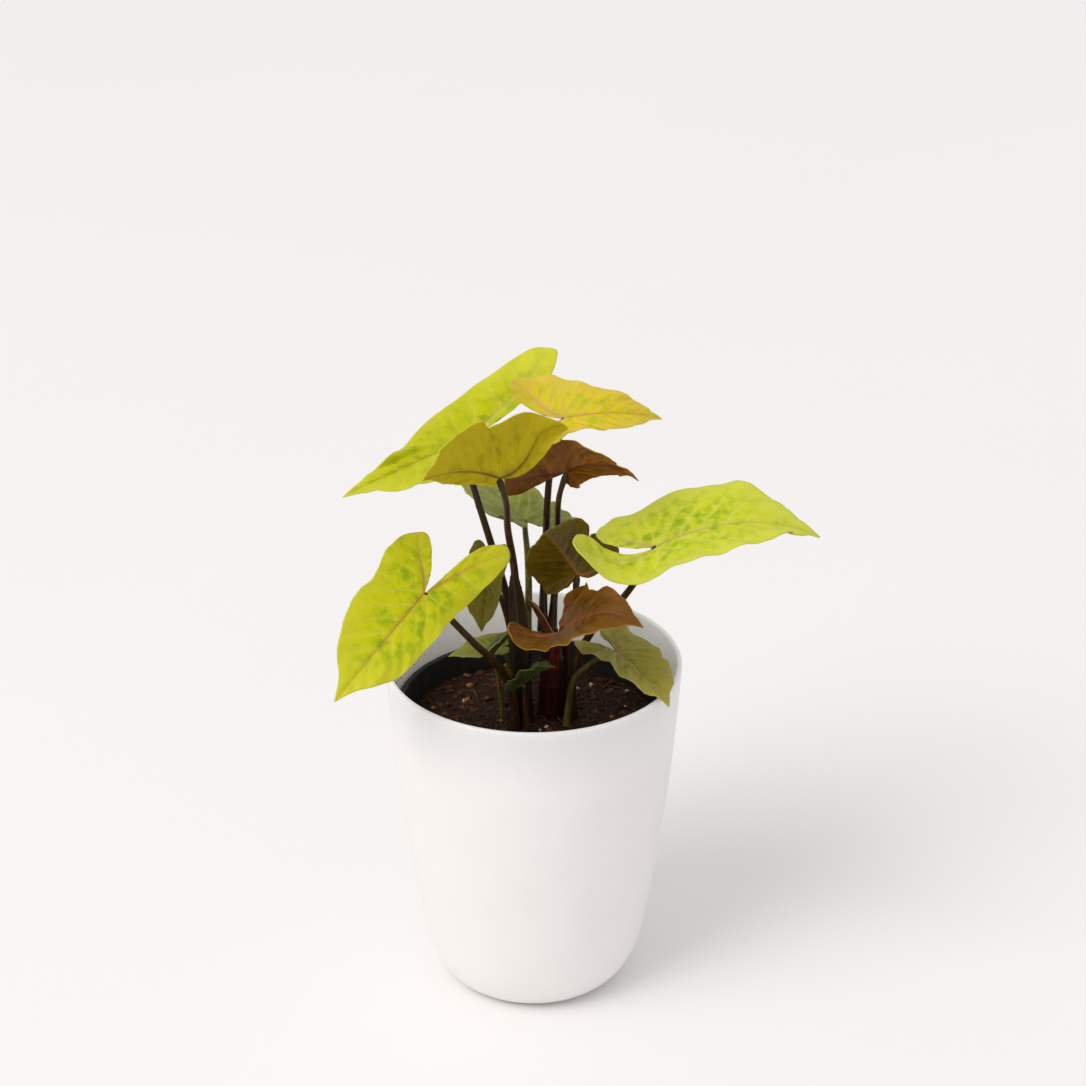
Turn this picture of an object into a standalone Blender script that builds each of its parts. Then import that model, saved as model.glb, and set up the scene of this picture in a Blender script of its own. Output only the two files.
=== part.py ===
"""Potted syngonium: a white planter, the nursery pot and coir soil inside it, and the plant itself.

Lengths are in millimetres and are turned into metres when a mesh is made. The origin is the
centre of the planter's flat foot. +Z is up and -Y is the side the plant shows to the room.
"""
import math

import bpy
import numpy as np

MM = 0.001
GAP = 0.3

# White planter
PLANTER_HEIGHT = 157.0
RIM_RADIUS = 65.0
WALL = 2.2
FLOOR = 3.0
FOOT_RADIUS = 33.0
FOOT_ROUND_ACROSS = 18.2
FOOT_ROUND_HIGH = 38.6
FOOT_ROUND_END = 74.0
SIDE_BULGE = 2.0
FOOT_WALL_EXTRA = 1.6

# Black nursery pot that stands inside it
LINER_TOP = 135.0
LINER_RADIUS = 59.0
LINER_LIP = 1.2
LINER_LIP_HEIGHT = 6.0
LINER_FOOT = 33.0
LINER_SHOULDER = 38.0
LINER_SHOULDER_HEIGHT = 5.0
LINER_WALL = 1.1
LINER_FLOOR = 1.2
DRAIN_HOLES = 6
DRAIN_RADIUS = 3.0
DRAIN_CIRCLE = 24.0
DRAIN_START = 0.35
DRAIN_CUT_DEPTH = 10.0

# Soil
SOIL_EDGE = 124.0
SOIL_MOUND = 5.0

# Stems, stalks and blades
SOCKET_DEPTH = 14.0
BLADE_THICKNESS = 0.6
STALK_SIDES = 8
STAND_SLACK = 0.2
STUB = 2.0
LARGE_BLADE = 40.0
LARGE_BLADE_MESH = (7, 2)
SMALL_BLADE_MESH = (3, 1)


def clear_scene():
    for ob in list(bpy.data.objects):
        bpy.data.objects.remove(ob, do_unlink=True)


def material(name, colour, roughness, metallic=0.0):
    mat = bpy.data.materials.new(name)
    mat.use_nodes = True
    shader = mat.node_tree.nodes["Principled BSDF"]
    shader.inputs["Base Color"].default_value = (*colour, 1.0)
    shader.inputs["Roughness"].default_value = roughness
    shader.inputs["Metallic"].default_value = metallic
    mat.diffuse_color = (*colour, 1.0)
    return mat


def add_solid(name, points, faces, mat, smooth=True):
    """A mesh object from points in millimetres."""
    mesh = bpy.data.meshes.new(name)
    mesh.from_pydata([tuple(float(c) * MM for c in p) for p in points], [], faces)
    mesh.validate()
    mesh.materials.append(mat)
    ob = bpy.data.objects.new(name, mesh)
    bpy.context.scene.collection.objects.link(ob)
    mesh.polygons.foreach_set("use_smooth", [smooth] * len(mesh.polygons))
    mesh.set_sharp_from_angle(angle=math.radians(50))
    return ob


def turned(profile, segments):
    """Points and faces of a profile turned about Z. Both ends of the profile lie on the axis."""
    points = [(0.0, 0.0, profile[0][1]), (0.0, 0.0, profile[-1][1])]
    rings = []
    for radius, z in profile[1:-1]:
        rings.append(len(points))
        for i in range(segments):
            a = 2 * math.pi * i / segments
            points.append((radius * math.cos(a), radius * math.sin(a), z))
    faces = []
    for i in range(segments):
        j = (i + 1) % segments
        faces.append((0, rings[0] + j, rings[0] + i))
        for low, high in zip(rings, rings[1:]):
            faces.append((low + i, low + j, high + j, high + i))
        faces.append((rings[-1] + i, rings[-1] + j, 1))
    return points, faces


def planter_radius(z):
    """Outside radius of the planter at a height: a rounded foot, then a side that swells a little."""
    end = math.radians(FOOT_ROUND_END)
    side_z = FOOT_ROUND_HIGH * (1 - math.cos(end))
    side_r = FOOT_RADIUS + FOOT_ROUND_ACROSS * math.sin(end)
    if z < side_z:
        a = math.acos(1 - z / FOOT_ROUND_HIGH)
        return FOOT_RADIUS + FOOT_ROUND_ACROSS * math.sin(a)
    t = (z - side_z) / (PLANTER_HEIGHT - side_z)
    return side_r + (RIM_RADIUS - side_r) * t + 4 * SIDE_BULGE * t * (1 - t)


def planter_wall(z):
    """Wall thickness at a height, thicker toward the foot."""
    return WALL + FOOT_WALL_EXTRA * max(0.0, 1 - z / 28.0) ** 2


def make_planter():
    foot = [0.8, 3.0, 6.5, 11.0, 17.0]
    side = [28.0 + (PLANTER_HEIGHT - WALL / 2 - 28.0) * i / 5 for i in range(6)]
    profile = [(0.0, 0.0), (FOOT_RADIUS, 0.0)]
    profile += [(planter_radius(z), z) for z in foot + side]
    rim_z = PLANTER_HEIGHT - WALL / 2
    rim_r = planter_radius(rim_z) - WALL / 2
    for degrees in (45, 90, 135):
        a = math.radians(degrees)
        profile.append((rim_r + WALL / 2 * math.cos(a), rim_z + WALL / 2 * math.sin(a)))
    inside = [FLOOR] + foot[2:] + side
    profile += [(planter_radius(z) - planter_wall(z), z) for z in reversed(inside)]
    profile.append((0.0, FLOOR))
    white = material("planter_white", (0.90, 0.885, 0.87), 0.38)
    add_solid("planter", *turned(profile, 48), white)


def liner_radius(z):
    """Outside radius of the nursery pot's side above its chamfered foot."""
    low = FLOOR + GAP + LINER_SHOULDER_HEIGHT
    t = max(0.0, (z - low) / (LINER_TOP - low))
    return LINER_SHOULDER + (LINER_RADIUS - LINER_SHOULDER) * t


def make_nursery_pot():
    foot = FLOOR + GAP
    shoulder = foot + LINER_SHOULDER_HEIGHT
    lip = LINER_TOP - LINER_LIP_HEIGHT
    outside = [(0.0, foot), (LINER_FOOT, foot), (LINER_SHOULDER, shoulder)]
    outside += [(liner_radius(z), z) for z in (60.0, 100.0, lip)]
    outside += [(LINER_RADIUS + LINER_LIP, lip), (LINER_RADIUS + LINER_LIP, LINER_TOP)]
    inside = [(liner_radius(z) - LINER_WALL, z) for z in (LINER_TOP, 100.0, 60.0, shoulder)]
    inside += [(LINER_FOOT - LINER_WALL, foot + LINER_FLOOR), (0.0, foot + LINER_FLOOR)]
    black = material("nursery_black", (0.015, 0.014, 0.013), 0.55)
    pot = add_solid("nursery_pot", *turned(outside + inside, 40), black)
    for i in range(DRAIN_HOLES):
        a = 2 * math.pi * i / DRAIN_HOLES + DRAIN_START
        centre = (DRAIN_CIRCLE * math.cos(a) * MM, DRAIN_CIRCLE * math.sin(a) * MM, foot * MM)
        bpy.ops.mesh.primitive_cylinder_add(
            vertices=12, radius=DRAIN_RADIUS * MM, depth=DRAIN_CUT_DEPTH * MM, location=centre)
        add_cut(pot, bpy.context.object, "drain_cutter_%d" % i)


def add_cut(body, cutter, name):
    cutter.name = name
    cutter.hide_render = True
    cutter.display_type = "WIRE"
    cut = body.modifiers.new(name, "BOOLEAN")
    cut.operation = "DIFFERENCE"
    cut.solver = "EXACT"
    cut.object = cutter


def soil_radius(z):
    return liner_radius(z) - LINER_WALL - GAP


def soil_height(x, y):
    """Top of the soil, a low mound."""
    spread = min(1.0, math.hypot(x, y) / soil_radius(SOIL_EDGE))
    return SOIL_EDGE + SOIL_MOUND * (1 - spread ** 2)


def make_soil():
    floor = FLOOR + GAP + LINER_FLOOR + GAP
    shoulder = FLOOR + GAP + LINER_SHOULDER_HEIGHT
    profile = [(0.0, floor), (LINER_FOOT - LINER_WALL - GAP - 0.4, floor)]
    profile += [(soil_radius(z), z) for z in (shoulder, 60.0, 100.0, SOIL_EDGE)]
    top = soil_radius(SOIL_EDGE)
    profile += [(top * s, soil_height(top * s, 0.0)) for s in (0.8, 0.6, 0.4, 0.2)]
    profile.append((0.0, soil_height(0.0, 0.0)))
    brown = material("soil_brown", (0.045, 0.022, 0.012), 0.95)
    soil = add_solid("soil", *turned(profile, 40), brown)
    x, y, _ = STEMS["main_stem"]["route"][0]
    depth = SOCKET_DEPTH + GAP
    radius = STEMS["main_stem"]["radii"][0] + GAP
    centre = (x * MM, y * MM, (soil_height(x, y) - depth + 20.0) * MM)
    bpy.ops.mesh.primitive_cylinder_add(vertices=20, radius=radius * MM, depth=40.0 * MM, location=centre)
    add_cut(soil, bpy.context.object, "socket_cutter")


def smooth_route(route, steps):
    """A smooth curve through the points of a route (Catmull-Rom), as an array of points."""
    pts = np.array(route, float)
    pts = np.vstack([2 * pts[0] - pts[1], pts, 2 * pts[-1] - pts[-2]])
    out = []
    for a, b, c, d in zip(pts, pts[1:], pts[2:], pts[3:]):
        for t in np.arange(steps) / steps:
            out.append(0.5 * (2 * b + (c - a) * t + (2 * a - 5 * b + 4 * c - d) * t ** 2
                              + (3 * b - a - 3 * c + d) * t ** 3))
    return np.array(out + [pts[-2]])


def tube(route, radii, sides):
    """A tapered tube along a route, closed at both ends."""
    tangent = np.gradient(route, axis=0)
    tangent /= np.linalg.norm(tangent, axis=1)[:, None]
    length = np.r_[0, np.cumsum(np.linalg.norm(np.diff(route, axis=0), axis=1))]
    radius = np.interp(length / length[-1], np.linspace(0, 1, len(radii)), radii)
    across = np.cross(tangent[0], (0.0, 1.0, 0.0))
    points = []
    for p, t, r in zip(route, tangent, radius):
        across = across - t * across.dot(t)
        across /= np.linalg.norm(across)
        other = np.cross(t, across)
        for i in range(sides):
            a = 2 * math.pi * i / sides
            points.append(p + r * (math.cos(a) * across + math.sin(a) * other))
    faces = [tuple(reversed(range(sides)))]
    for k in range(len(route) - 1):
        for i in range(sides):
            j = (i + 1) % sides
            faces.append((k * sides + i, k * sides + j, (k + 1) * sides + j, (k + 1) * sides + i))
    last = (len(route) - 1) * sides
    faces.append(tuple(range(last, last + sides)))
    return points, faces


# Two stems come out of the soil: the old red one and a younger one that carries the tall stalks.
STEMS = {
    "main_stem": dict(colour=(0.13, 0.022, 0.018), radii=(5.6, 5.2, 4.4),
                      route=[(7, 2, None), (8, 2, 151), (6, 3, 172)]),
    "side_stem": dict(colour=(0.045, 0.02, 0.012), radii=(3.6, 4.2, 5.2),
                      route=[(-3, -7, None), (-5, -6, 151), (-6, -5.5, 174)]),
}

# Each stalk: the leaf it carries, its radius at the foot and at the blade, and its route up to
# the blade. A height of None is the soil surface.
STALKS = {
    "left_stalk": ("left_leaf", 2.0, 1.2,
                   [(-8, -12.5, None), (-9, -14, 147), (-15, -18, 163), (-25, -28, 180), (-36, -37, 198)]),
    "right_stalk": ("right_leaf", 2.0, 1.2,
                    [(17, -1, None), (17.5, 0, 150), (25, 0, 170), (38, -7, 190), (46, -13, 206)]),
    "top_left_stalk": ("top_left_leaf", 1.8, 1.2,
                       [(-7.6, -2.7, 174.6), (-13, -4, 197), (-19, -2, 218), (-25, 2, 238), (-28, 1, 252)]),
    "top_front_stalk": ("top_front_leaf", 1.8, 1.2,
                        [(-5.4, -8.7, 174.6), (-8, -12.2, 207), (-10.5, -21, 230), (-11, -32, 248)]),
    "back_stalk": ("back_leaf", 1.7, 1.1,
                   [(-3, -4.2, 174.6), (-2, 4, 187), (-2.5, 18, 198), (-3.5, 27, 205)]),
    "top_right_stalk": ("top_right_leaf", 1.8, 1.2,
                        [(4, 3, 172.6), (4.5, 8, 189), (5.5, 10, 213), (7, 10, 240), (11, 8, 258.5)]),
    "centre_top_stalk": ("centre_top_leaf", 1.7, 1.1,
                         [(8, 4, 172.6), (9.5, 8, 190), (10.5, 6, 212), (10.8, -3, 235)]),
    "bronze_stalk": ("bronze_leaf", 1.8, 1.2,
                     [(13.5, 8, None), (14, 7.5, 150), (14.8, 4, 168), (17.5, -2.5, 186)]),
    "front_stalk": ("front_leaf", 2.0, 1.6, [(8.5, -4.9, 158), (10, -12, 169), (12, -22.5, 180.5)]),
    "low_right_stalk": ("low_right_leaf", 1.3, 0.9,
                        [(14, -7, None), (17, -6, 148), (23, -7, 157), (30, -11, 164)]),
    "stem_leaf_stalk": ("stem_leaf", 1.1, 0.8, [(-2, -18, None), (-3.5, -20, 147)]),
    "low_left_stalk": ("low_left_leaf", 1.1, 0.8, [(-9, 4, None), (-11, 7, 150)]),
    "folded_stalk": ("folded_leaf", 1.1, 0.8, [(-13, -4, None), (-15.5, -3.5, 150)]),
    "hanging_stalk": ("hanging_leaf", 1.2, 0.8,
                      [(-9.1, -6.3, 174.6), (-13.5, -8.5, 190), (-17, -9, 200)]),
}

# Half of a flat syngonium blade in leaf lengths: (across, along). The junction with the stalk is
# at (0, 0) and the tip at (0, 1). It starts on the inner side of the lobe, which reaches back.
HALF_OUTLINE = [(0.07, -0.22), (0.15, -0.38), (0.27, -0.45), (0.38, -0.38), (0.43, -0.22),
                (0.405, -0.06), (0.40, 0.08), (0.40, 0.23), (0.38, 0.40), (0.325, 0.58),
                (0.22, 0.74), (0.10, 0.85), (0.0, 1.0)]

# What a half of a blade does when a leaf says nothing else. Angles are in degrees. spread and
# fold may be four values, at the lobe, the stalk, the middle and near the tip.
#   spread: how broad the half is; fold: how far it rises from the rib
#   lobe: how far the lobe reaches back; turn: how far it is turned outward
#   cup: how much more the half rises by the margin; lift: how far the lobe's end rises
STATIONS = (-0.45, 0.0, 0.45, 0.9)
HALF = dict(spread=1.0, fold=10, lobe=1.0, turn=0, cup=0, lift=0)

# Poses. heading is the compass way of the midrib (0 is +X, 90 is +Y), pitch is how far it
# climbs, roll lifts the right half, droop and hook bend the tip down, sweep bends it sideways.
LEAVES = {
    "left_leaf": dict(
        base=(-45, -40, 210), heading=-126, pitch=-22, roll=38, length=61, droop=20,
        right=dict(spread=(0.75, 0.9, 0.9, 0.85), lobe=0.85, turn=10, fold=5, lift=5),
        left=dict(spread=(1.0, 0.65, 0.68, 0.65), lobe=1.35, turn=-3, fold=8, cup=-50, lift=28)),
    "right_leaf": dict(
        base=(52, -12, 218), heading=3, pitch=28, roll=-6, length=74, droop=50, hook=8,
        right=dict(fold=(-25, -5, 5, 5), spread=(0.9, 0.7, 0.75, 0.85), lobe=1.05, turn=-15, lift=88),
        left=dict(fold=8, spread=(0.7, 0.9, 1.0, 1.0), lobe=0.75, lift=50)),
    "top_left_leaf": dict(
        base=(-28, -2, 262), heading=-136, pitch=0, roll=30, length=66, droop=10,
        right=dict(fold=0, spread=(1.0, 0.72, 0.35, 0.4), lobe=1.9, turn=-7, lift=30),
        left=dict(fold=30, spread=0.8, lobe=0.5)),
    "top_front_leaf": dict(
        base=(-14, -35, 260.5), heading=-133, pitch=33, roll=-95, length=48, sweep=-30,
        right=dict(fold=20, spread=(0.15, 0.2, 0.35, 0.4), lobe=0.2),
        left=dict(fold=0, spread=(0.5, 1.2, 1.1, 1.1), lobe=1.85, turn=38, lift=-20)),
    "top_right_leaf": dict(
        base=(13, 3, 270.5), heading=-13, pitch=18, roll=-45, length=44, droop=60,
        right=dict(fold=18, spread=0.55, lobe=0.7, turn=25),
        left=dict(spread=(0.8, 0.95, 0.65, 0.6), fold=5, lobe=1.35, turn=14, lift=35)),
    "centre_top_leaf": dict(
        base=(14, -5, 249), heading=-40, pitch=42, roll=92, length=42, sweep=60,
        right=dict(fold=0, spread=(1.0, 1.0, 0.35, 0.35), lobe=2.0, turn=-5),
        left=dict(fold=35, spread=0.5, lobe=0.3)),
    "bronze_leaf": dict(
        base=(19, -3, 200), heading=-150, pitch=60, roll=-66, length=40, droop=35,
        right=dict(fold=0, spread=(0.9, 1.0, 1.1, 1.1), lobe=0.25),
        left=dict(fold=28, spread=1.1, lobe=1.0, turn=38)),
    "front_leaf": dict(
        base=(13, -31, 188.5), heading=-48, pitch=42, roll=-33, length=46, droop=20, hook=60,
        right=dict(fold=10, spread=(0.8, 0.78, 0.92, 0.9), lobe=1.3, turn=-8, lift=80),
        left=dict(fold=5, spread=(1.05, 1.05, 0.85, 0.8), lobe=0.8, turn=32)),
    "low_right_leaf": dict(
        base=(36, -14, 168), heading=-50, pitch=-6, roll=5, length=37, droop=25,
        right=dict(fold=5, spread=0.78, turn=15),
        left=dict(fold=5, spread=1.1, turn=-10)),
    "back_leaf": dict(
        base=(-4, 32, 209), heading=121, pitch=8, roll=-8, length=57, droop=8,
        right=dict(fold=25, lift=30, spread=0.65),
        left=dict(fold=22, spread=1.2, turn=15, lift=30)),
    "hanging_leaf": dict(
        base=(-19, -9, 205), heading=-110, pitch=-60, length=27, droop=20,
        right=dict(fold=20, spread=0.8),
        left=dict(fold=20, spread=0.8)),
    "low_left_leaf": dict(
        base=(-14, 9, 158), heading=172, pitch=-10, roll=10, length=25, droop=12,
        right=dict(fold=15, spread=0.8),
        left=dict(fold=15, spread=0.8, lobe=0.6)),
    "folded_leaf": dict(
        base=(-17.5, -3, 161), heading=20, pitch=50, roll=20, length=15, droop=10,
        right=dict(fold=40, spread=0.8, lobe=0.4),
        left=dict(fold=40, spread=0.8, lobe=0.4)),
    "stem_leaf": dict(
        base=(-4, -21, 156), heading=-25, pitch=55, roll=10, length=20, droop=30,
        right=dict(fold=35, spread=0.9, lobe=0.7),
        left=dict(fold=35, spread=0.9, lobe=0.7)),
    "sheath": dict(
        base=(-5.9, -13.9, 176), heading=-127, pitch=83, roll=-37, length=38,
        right=dict(fold=40, spread=(0.36, 0.34, 0.3, 0.3), lobe=0.2),
        left=dict(fold=40, spread=(0.36, 0.34, 0.3, 0.3), lobe=0.2)),
    "bract": dict(
        base=(4.9, -5.1, 174.0), heading=197, pitch=66, length=18,
        right=dict(fold=30, spread=0.7, lobe=0.3),
        left=dict(fold=30, spread=0.7, lobe=0.3)),
}

DARK_STALK = (0.028, 0.016, 0.01)
STALK_COLOURS = {
    "back_stalk": (0.12, 0.11, 0.03), "front_stalk": (0.16, 0.03, 0.02),
    "low_left_stalk": (0.10, 0.10, 0.03), "low_right_stalk": (0.07, 0.04, 0.02),
}
LEAF_COLOURS = {
    "left_leaf": (0.36, 0.50, 0.03), "right_leaf": (0.42, 0.56, 0.08), "top_left_leaf": (0.45, 0.55, 0.02),
    "top_front_leaf": (0.30, 0.26, 0.015), "top_right_leaf": (0.62, 0.52, 0.10),
    "centre_top_leaf": (0.19, 0.065, 0.008), "bronze_leaf": (0.13, 0.10, 0.012),
    "front_leaf": (0.27, 0.11, 0.02), "low_right_leaf": (0.30, 0.33, 0.07), "back_leaf": (0.26, 0.33, 0.13),
    "hanging_leaf": (0.14, 0.14, 0.02), "low_left_leaf": (0.20, 0.24, 0.04),
    "folded_leaf": (0.09, 0.14, 0.04),
    "stem_leaf": (0.05, 0.08, 0.02), "sheath": (0.05, 0.028, 0.015), "bract": (0.16, 0.05, 0.03),
}


def ease(t):
    t = np.clip(t, 0, 1)
    return t * t * (3 - 2 * t)


def along_half(value, v):
    """A value at places v along a half, from one number or from four at the stations."""
    if np.isscalar(value):
        return np.full_like(v, float(value))
    return np.polyval(np.polyfit(STATIONS, value, 3), v)


def rib_frames(leaf, t, lift):
    """Way along the rib, way across it to the right, and upper-side normal at stations t."""
    heading, pitch, roll = (math.radians(leaf.get(k, 0)) for k in ("heading", "pitch", "roll"))
    onward = np.array([math.cos(heading), math.sin(heading), 0.0])
    along = math.cos(pitch) * onward + np.array([0.0, 0.0, math.sin(pitch)])
    level = np.array([math.sin(heading), -math.cos(heading), 0.0])
    across = math.cos(roll) * level + math.sin(roll) * np.cross(level, along)
    normal = np.cross(across, along)
    forward = np.clip(t, 0, None)
    bend = -np.radians(leaf.get("droop", 0)) * forward
    bend = bend - np.radians(leaf.get("hook", 0)) * ease((t - 0.4) / 0.55)
    bend = bend + np.radians(lift) * np.clip(t, None, 0) / 0.45
    side = np.radians(leaf.get("sweep", 0)) * forward
    flat = np.cos(side)[:, None] * along - np.sin(side)[:, None] * across
    ahead = np.cos(bend)[:, None] * flat + np.sin(bend)[:, None] * normal
    upper = np.cos(bend)[:, None] * normal - np.sin(bend)[:, None] * flat
    return ahead, np.cross(ahead, upper), upper


def half_points(leaf, side, w, v):
    """Places on one half of a blade: w across and v along, in leaf lengths."""
    half = dict(HALF, **leaf[side])
    sign = 1.0 if side == "right" else -1.0
    along = np.where(v < 0, v * half["lobe"], v)
    across = w * along_half(half["spread"], v)
    turn = np.radians(half["turn"]) * ease((1.2 * w - v) / 0.6)
    across, along = (across * np.cos(turn) - along * np.sin(turn),
                     along * np.cos(turn) + across * np.sin(turn))
    t = np.linspace(-1.2, 1.05, 226)
    ahead, right, upper = rib_frames(leaf, t, half["lift"])
    step = (ahead[1:] + ahead[:-1]) / 2 * (t[1] - t[0])
    rib = np.vstack([np.zeros(3), np.cumsum(step, axis=0)])

    def at(values, where):
        return np.stack([np.interp(where, t, values[:, k]) for k in range(3)], -1)

    fold = np.radians(along_half(half["fold"], v))
    cup = math.radians(half["cup"]) / 0.43
    if abs(cup) < 1e-6:
        out, rise = across * np.cos(fold), across * np.sin(fold)
    else:
        out = (np.sin(fold + cup * across) - np.sin(fold)) / cup
        rise = (np.cos(fold) - np.cos(fold + cup * across)) / cup
    place = at(rib, along) - at(rib, np.zeros(1))
    place = place + sign * out[..., None] * at(right, along) + rise[..., None] * at(upper, along)
    return np.array(leaf["base"]) + leaf["length"] * place


def blade_sheet(leaf, rings, steps):
    """Middle surface of a blade: rays from the junction out to the outline, on both halves."""
    outline = smooth_route(HALF_OUTLINE, steps)
    count = len(outline)
    scale = np.linspace(0, 1, rings + 1)[1:, None]
    points = [np.array([leaf["base"]], float)]
    index = {}
    total = 1
    for side in ("right", "left"):
        grid = half_points(leaf, side, scale * outline[:, 0], scale * outline[:, 1])
        own = count if side == "right" else count - 1
        points.append(grid[:, :own].reshape(-1, 3))
        place = total + np.arange(rings * own).reshape(rings, own)
        if side == "left":
            place = np.hstack([place, index["right"][:, -1:]])
        index[side] = place
        total += rings * own
    faces = []
    for side in ("right", "left"):
        grid = index[side]
        for j in range(count - 1):
            quad = [(0, grid[0, j + 1], grid[0, j])]
            for i in range(rings - 1):
                quad.append((grid[i, j], grid[i, j + 1], grid[i + 1, j + 1], grid[i + 1, j]))
            if side == "left":
                quad = [tuple(reversed(f)) for f in quad]
            faces += quad
    border = [int(i) for i in index["right"][:, 0]] + [int(i) for i in index["right"][-1, 1:]]
    border += [int(i) for i in index["left"][-1, -2::-1]] + [int(i) for i in index["left"][-2::-1, 0]]
    return np.vstack(points), [tuple(int(i) for i in f) for f in faces], [0] + border


def sheet_normals(points, faces):
    normals = np.zeros_like(points)
    for face in faces:
        first, second, third, last = (points[face[k]] for k in (0, 1, 2, -1))
        normal = np.cross(third - first, last - second)
        for i in face:
            normals[i] += normal
    return normals / np.linalg.norm(normals, axis=1)[:, None]


def make_blade(name):
    leaf = LEAVES[name]
    rings, steps = LARGE_BLADE_MESH if leaf["length"] > LARGE_BLADE else SMALL_BLADE_MESH
    points, faces, border = blade_sheet(leaf, rings, steps)
    normals = sheet_normals(points, faces)
    count = len(points)
    half = BLADE_THICKNESS / 2
    solid = np.vstack([points + half * normals, points - half * normals])
    body = list(faces) + [tuple(i + count for i in reversed(f)) for f in faces]
    edges = {(f[i], f[(i + 1) % len(f)]) for f in faces for i in range(len(f))}
    for a, b in zip(border, border[1:] + border[:1]):
        if (a, b) not in edges:
            a, b = b, a
        body.append((b, a, a + count, b + count))
    mat = material(name, LEAF_COLOURS[name], 0.42)
    add_solid(name, solid, body, mat)


def make_stems():
    for name, stem in STEMS.items():
        route = [list(p) for p in stem["route"]]
        x, y, _ = route[0]
        foot = soil_height(x, y) + (-SOCKET_DEPTH if name == "main_stem" else GAP)
        route[0][2] = soil_height(x, y) + STUB
        path = np.vstack([(x, y, foot), smooth_route(route, 4)])
        mat = material(name, stem["colour"], 0.5)
        add_solid(name, *tube(path, stem["radii"], 14), mat)


def make_stalk(name):
    leaf_name, foot_radius, tip_radius, route = STALKS[name]
    leaf = LEAVES[leaf_name]
    _, _, upper = rib_frames(leaf, np.zeros(1), 0)
    route = [list(p) for p in route]
    x, y, z = route[0]
    if z is None:
        z = soil_height(x, y) + GAP
    route[0][2] = z + STUB
    last = np.array(route[-1], float)
    approach = np.array(leaf["base"]) - last
    approach /= np.linalg.norm(approach)
    tilt = math.sqrt(max(0.0, 1 - approach.dot(upper[0]) ** 2))
    stand = BLADE_THICKNESS / 2 + GAP + tip_radius * tilt + STAND_SLACK
    route.append(tuple(np.array(leaf["base"]) - stand * upper[0]))
    path = np.vstack([(x, y, z), smooth_route(route, 2)])
    mat = material(name, STALK_COLOURS.get(name, DARK_STALK), 0.45)
    add_solid(name, *tube(path, (foot_radius, tip_radius), STALK_SIDES), mat)


clear_scene()
make_planter()
make_nursery_pot()
make_soil()
make_stems()
for stalk_name in STALKS:
    make_stalk(stalk_name)
for leaf_name in LEAVES:
    make_blade(leaf_name)
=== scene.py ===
"""A potted syngonium: white cover pot, black nursery pot, coir soil, stems, stalks and leaves.

Lengths are in millimetres and become metres when a piece is finished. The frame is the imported
model: +Z up, the pot's foot on Z 0 and the plant's showing side towards -Y.
"""
import math
import random

import bmesh
import bpy
import numpy as np
from mathutils import Matrix, Vector, noise


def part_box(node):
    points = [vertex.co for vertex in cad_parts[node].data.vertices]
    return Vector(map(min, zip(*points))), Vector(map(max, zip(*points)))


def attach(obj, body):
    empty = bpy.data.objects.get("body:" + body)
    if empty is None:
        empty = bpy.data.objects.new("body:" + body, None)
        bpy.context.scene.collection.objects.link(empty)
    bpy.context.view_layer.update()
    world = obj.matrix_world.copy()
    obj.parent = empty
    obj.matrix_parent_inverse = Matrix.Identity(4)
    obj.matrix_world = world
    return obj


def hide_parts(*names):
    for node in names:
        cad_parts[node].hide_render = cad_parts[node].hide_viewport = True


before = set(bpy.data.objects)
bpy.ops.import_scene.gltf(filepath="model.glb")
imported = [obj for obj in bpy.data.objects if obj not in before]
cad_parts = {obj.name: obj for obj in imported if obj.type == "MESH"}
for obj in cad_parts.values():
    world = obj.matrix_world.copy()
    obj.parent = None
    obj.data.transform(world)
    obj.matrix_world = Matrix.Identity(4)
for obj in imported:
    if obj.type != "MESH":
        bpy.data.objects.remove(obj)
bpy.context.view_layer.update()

# ---------------------------------------------------------------------------------------------
# Cover pot
# A tapered planter of polypropylene, injection moulded in one shot in satin white, with a rounded
# rim, a softly rounded foot and a shallow recess under it. It stands on a flat foot ring.
# ---------------------------------------------------------------------------------------------
MM = 0.001
pot_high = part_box("planter")[1]
POT_HEIGHT = pot_high.z / MM
POT_RIM = pot_high.x / MM
POT_WALL = 2.2
POT_FLOOR = 3.0
POT_FOOT = 33.0
FOOT_ROUND_ACROSS = 18.2
FOOT_ROUND_HIGH = 38.6
FOOT_ROUND_END = math.radians(74)
SIDE_BULGE = 2.0
FOOT_WALL_EXTRA = 1.6
FOOT_WALL_HIGH = 28.0
RECESS_RADIUS = 28.0
RECESS_DEPTH = 0.9
RECESS_SLOPE = 1.5
RECESS_STEP = 0.25
RECESS_LIP = 0.6
GATE_RADIUS = 2.2
GATE_MARK = 0.5

# How far light spreads inside the plastic, and the height from which the wall glows more and more.
GLOW_DEPTH = 10.0
GLOW_FROM = 128.0


def pot_radius(z):
    """Outside radius at a height: a rounded foot, then a side that swells a little."""
    side_z = FOOT_ROUND_HIGH * (1 - math.cos(FOOT_ROUND_END))
    side_r = POT_FOOT + FOOT_ROUND_ACROSS * math.sin(FOOT_ROUND_END)
    if z < side_z:
        return POT_FOOT + FOOT_ROUND_ACROSS * math.sin(math.acos(1 - z / FOOT_ROUND_HIGH))
    t = (z - side_z) / (POT_HEIGHT - side_z)
    return side_r + (POT_RIM - side_r) * t + 4 * SIDE_BULGE * t * (1 - t)


def linear(code):
    """The linear colour of an sRGB hex value such as efebe9."""
    parts = [int(code[i:i + 2], 16) / 255 for i in (0, 2, 4)]
    return tuple(p / 12.92 if p <= 0.04045 else ((p + 0.055) / 1.055) ** 2.4 for p in parts) + (1.0,)


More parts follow.
